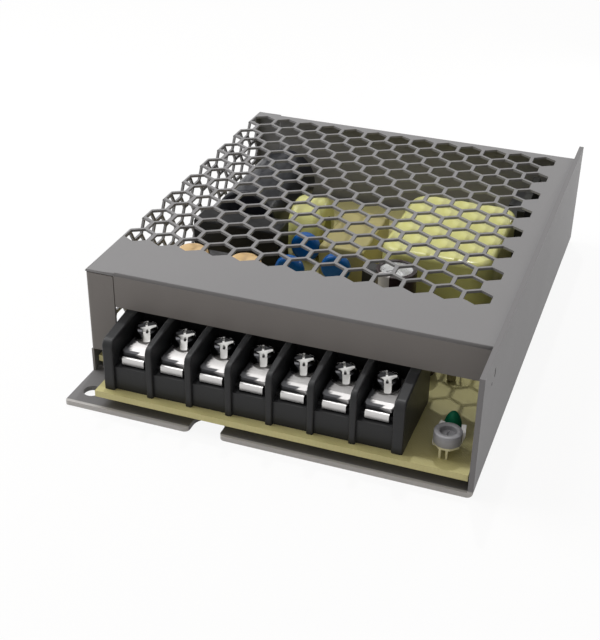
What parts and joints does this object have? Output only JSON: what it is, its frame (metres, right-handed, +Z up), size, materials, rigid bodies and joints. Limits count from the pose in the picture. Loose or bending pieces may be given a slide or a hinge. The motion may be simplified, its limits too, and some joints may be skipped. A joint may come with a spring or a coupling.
{
  "type": "enclosed power supply",
  "caption": "Slim enclosed power supply with a bent base, a hexagon-perforated folded cover, and a barrier terminal block with an output trimmer and a lamp at the front.",
  "frame": {"origin": "centre of the footprint on the surface that the base stands on", "axes": "+X to the right seen from the terminals, towards the base's upright wall; +Y from the terminals to the back; +Z up"},
  "size_m": [0.097, 0.129, 0.03],
  "materials": {
    "case_metal": "satin",
    "cover_metal": "satin",
    "fastener_steel": "plain",
    "terminal_metal": "bright",
    "lead_metal": "tinned",
    "block_plastic": "matte",
    "laminate": "satin",
    "insulator": "satin",
    "trimmer_plastic": "satin",
    "cream_plastic": "satin",
    "green_lens": "gloss",
    "black_sleeve": "gloss",
    "brown_sleeve": "gloss",
    "can_metal": "bright",
    "black_case": "semi-gloss",
    "ferrite": "matte",
    "tan_winding": "gloss",
    "yellow_tape": "satin",
    "blue_ceramic": "gloss",
    "khaki_case": "satin",
    "device_plastic": "matte",
    "sink_metal": "satin",
    "fuse_ceramic": "plain"
  },
  "bodies": {
    "supply": {"base_chassis": "case_metal", "cover": "cover_metal", "cover_screws": "fastener_steel", "insulating_sheet": "insulator", "board_standoffs": "fastener_steel", "circuit_board": "laminate", "board_screws": "fastener_steel", "terminal_block": "block_plastic", "terminal_plates": "terminal_metal", "trimmer_base": "cream_plastic", "trimmer_clips": "lead_metal", "indicator_lamp": "green_lens", "lamp_leads": "lead_metal", "reservoir_capacitor": "black_sleeve", "reservoir_leads": "lead_metal", "line_capacitor": "black_case", "choke_core": "ferrite", "choke_windings": "tan_winding", "ring_choke": "yellow_tape", "disc_capacitors": "blue_ceramic", "disc_leads": "lead_metal", "film_capacitor": "khaki_case", "isolator": "device_plastic", "header_block": "device_plastic", "header_pins": "lead_metal", "transformer_foot": "device_plastic", "transformer_winding": "yellow_tape", "output_capacitors": "can_metal", "capacitor_sleeves": "brown_sleeve", "heat_sink": "sink_metal", "power_devices": "device_plastic", "fuse": "fuse_ceramic", "fuse_caps": "lead_metal", "bridge_rectifier": "device_plastic", "control_chip": "device_plastic", "chip_legs": "lead_metal", "upright_resistor": "cream_plastic", "resistor_leads": "lead_metal"},
    "clamp_1": {"clamp_plate_1": "terminal_metal"},
    "screw_1": {"terminal_screw_1": "terminal_metal"},
    "clamp_2": {"clamp_plate_2": "terminal_metal"},
    "screw_2": {"terminal_screw_2": "terminal_metal"},
    "clamp_3": {"clamp_plate_3": "terminal_metal"},
    "screw_3": {"terminal_screw_3": "terminal_metal"},
    "clamp_4": {"clamp_plate_4": "terminal_metal"},
    "screw_4": {"terminal_screw_4": "terminal_metal"},
    "clamp_5": {"clamp_plate_5": "terminal_metal"},
    "screw_5": {"terminal_screw_5": "terminal_metal"},
    "clamp_6": {"clamp_plate_6": "terminal_metal"},
    "screw_6": {"terminal_screw_6": "terminal_metal"},
    "clamp_7": {"clamp_plate_7": "terminal_metal"},
    "screw_7": {"terminal_screw_7": "terminal_metal"},
    "trimmer": {"trimmer_dial": "trimmer_plastic"}
  },
  "joints": [
    {"name": "clamp_1_lift", "type": "slide", "parent": "supply", "child": "clamp_1", "axis": [0, 0, 1], "range_m": [0, 0.0024]},
    {"name": "screw_1_turn", "type": "hinge", "parent": "clamp_1", "child": "screw_1", "pos_m": [-0.03275, -0.0516, 0.015], "axis": [0, 0, 1], "range_deg": [0, 1440]},
    {"name": "clamp_2_lift", "type": "slide", "parent": "supply", "child": "clamp_2", "axis": [0, 0, 1], "range_m": [0, 0.0024]},
    {"name": "screw_2_turn", "type": "hinge", "parent": "clamp_2", "child": "screw_2", "pos_m": [-0.0231, -0.0516, 0.015], "axis": [0, 0, 1], "range_deg": [0, 1440]},
    {"name": "clamp_3_lift", "type": "slide", "parent": "supply", "child": "clamp_3", "axis": [0, 0, 1], "range_m": [0, 0.0024]},
    {"name": "screw_3_turn", "type": "hinge", "parent": "clamp_3", "child": "screw_3", "pos_m": [-0.01345, -0.0516, 0.015], "axis": [0, 0, 1], "range_deg": [0, 1440]},
    {"name": "clamp_4_lift", "type": "slide", "parent": "supply", "child": "clamp_4", "axis": [0, 0, 1], "range_m": [0, 0.0024]},
    {"name": "screw_4_turn", "type": "hinge", "parent": "clamp_4", "child": "screw_4", "pos_m": [-0.0038, -0.0516, 0.015], "axis": [0, 0, 1], "range_deg": [0, 1440]},
    {"name": "clamp_5_lift", "type": "slide", "parent": "supply", "child": "clamp_5", "axis": [0, 0, 1], "range_m": [0, 0.0024]},
    {"name": "screw_5_turn", "type": "hinge", "parent": "clamp_5", "child": "screw_5", "pos_m": [0.00585, -0.0516, 0.015], "axis": [0, 0, 1], "range_deg": [0, 1440]},
    {"name": "clamp_6_lift", "type": "slide", "parent": "supply", "child": "clamp_6", "axis": [0, 0, 1], "range_m": [0, 0.0024]},
    {"name": "screw_6_turn", "type": "hinge", "parent": "clamp_6", "child": "screw_6", "pos_m": [0.0155, -0.0516, 0.015], "axis": [0, 0, 1], "range_deg": [0, 1440]},
    {"name": "clamp_7_lift", "type": "slide", "parent": "supply", "child": "clamp_7", "axis": [0, 0, 1], "range_m": [0, 0.0024]},
    {"name": "screw_7_turn", "type": "hinge", "parent": "clamp_7", "child": "screw_7", "pos_m": [0.02515, -0.0516, 0.015], "axis": [0, 0, 1], "range_deg": [0, 1440]},
    {"name": "trimmer_turn", "type": "hinge", "parent": "supply", "child": "trimmer", "pos_m": [0.0408, -0.058, 0.0095], "axis": [0, 0, 1], "range_deg": [-110, 110]}
  ],
  "couplings": [
    {"joint": "screw_1_turn", "follows": "clamp_1_lift", "rad_per_m": 10472},
    {"joint": "screw_2_turn", "follows": "clamp_2_lift", "rad_per_m": 10472},
    {"joint": "screw_3_turn", "follows": "clamp_3_lift", "rad_per_m": 10472},
    {"joint": "screw_4_turn", "follows": "clamp_4_lift", "rad_per_m": 10472},
    {"joint": "screw_5_turn", "follows": "clamp_5_lift", "rad_per_m": 10472},
    {"joint": "screw_6_turn", "follows": "clamp_6_lift", "rad_per_m": 10472},
    {"joint": "screw_7_turn", "follows": "clamp_7_lift", "rad_per_m": 10472}
  ]
}
